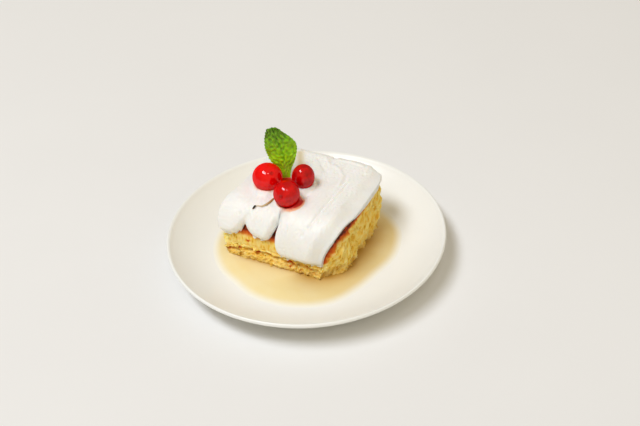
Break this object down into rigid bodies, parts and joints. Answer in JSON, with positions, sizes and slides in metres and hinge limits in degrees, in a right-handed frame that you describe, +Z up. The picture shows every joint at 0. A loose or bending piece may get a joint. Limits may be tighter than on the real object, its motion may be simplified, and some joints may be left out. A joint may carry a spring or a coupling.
{
  "type": "slice of three-milk cake on a dessert plate",
  "caption": "Square slice of milk-soaked sponge cake under spread whipped frosting, topped with cherries and a mint leaf, in a pool of milk on a shallow round plate.",
  "frame": {"origin": "on the table, at the middle of the plate's foot ring", "axes": "+Z up; +X along the draped front of the cake towards its bare cut end; +Y from its front to its back"},
  "size_m": [0.1898, 0.1898, 0.0898],
  "materials": {
    "plate": "smooth glaze",
    "milk_pool": "wet, stands in for sweet milk",
    "sponge": "torn open crumb, stands in for sponge cake",
    "frosting": "soft, stands in for whipped frosting",
    "cherry": "syrupy gloss, stands in for candied cherry",
    "cherry_stalk": "dried stalk, dull",
    "mint_leaf": "leaf, slightly shiny"
  },
  "bodies": {
    "root": {"plate": "plate", "milk_pool": "milk_pool", "sponge": "sponge", "frosting": "frosting", "cherry_left": "cherry", "cherry_right": "cherry", "cherry_front": "cherry", "cherry_stalk": "cherry_stalk", "mint_leaf": "mint_leaf"}
  },
  "joints": []
}
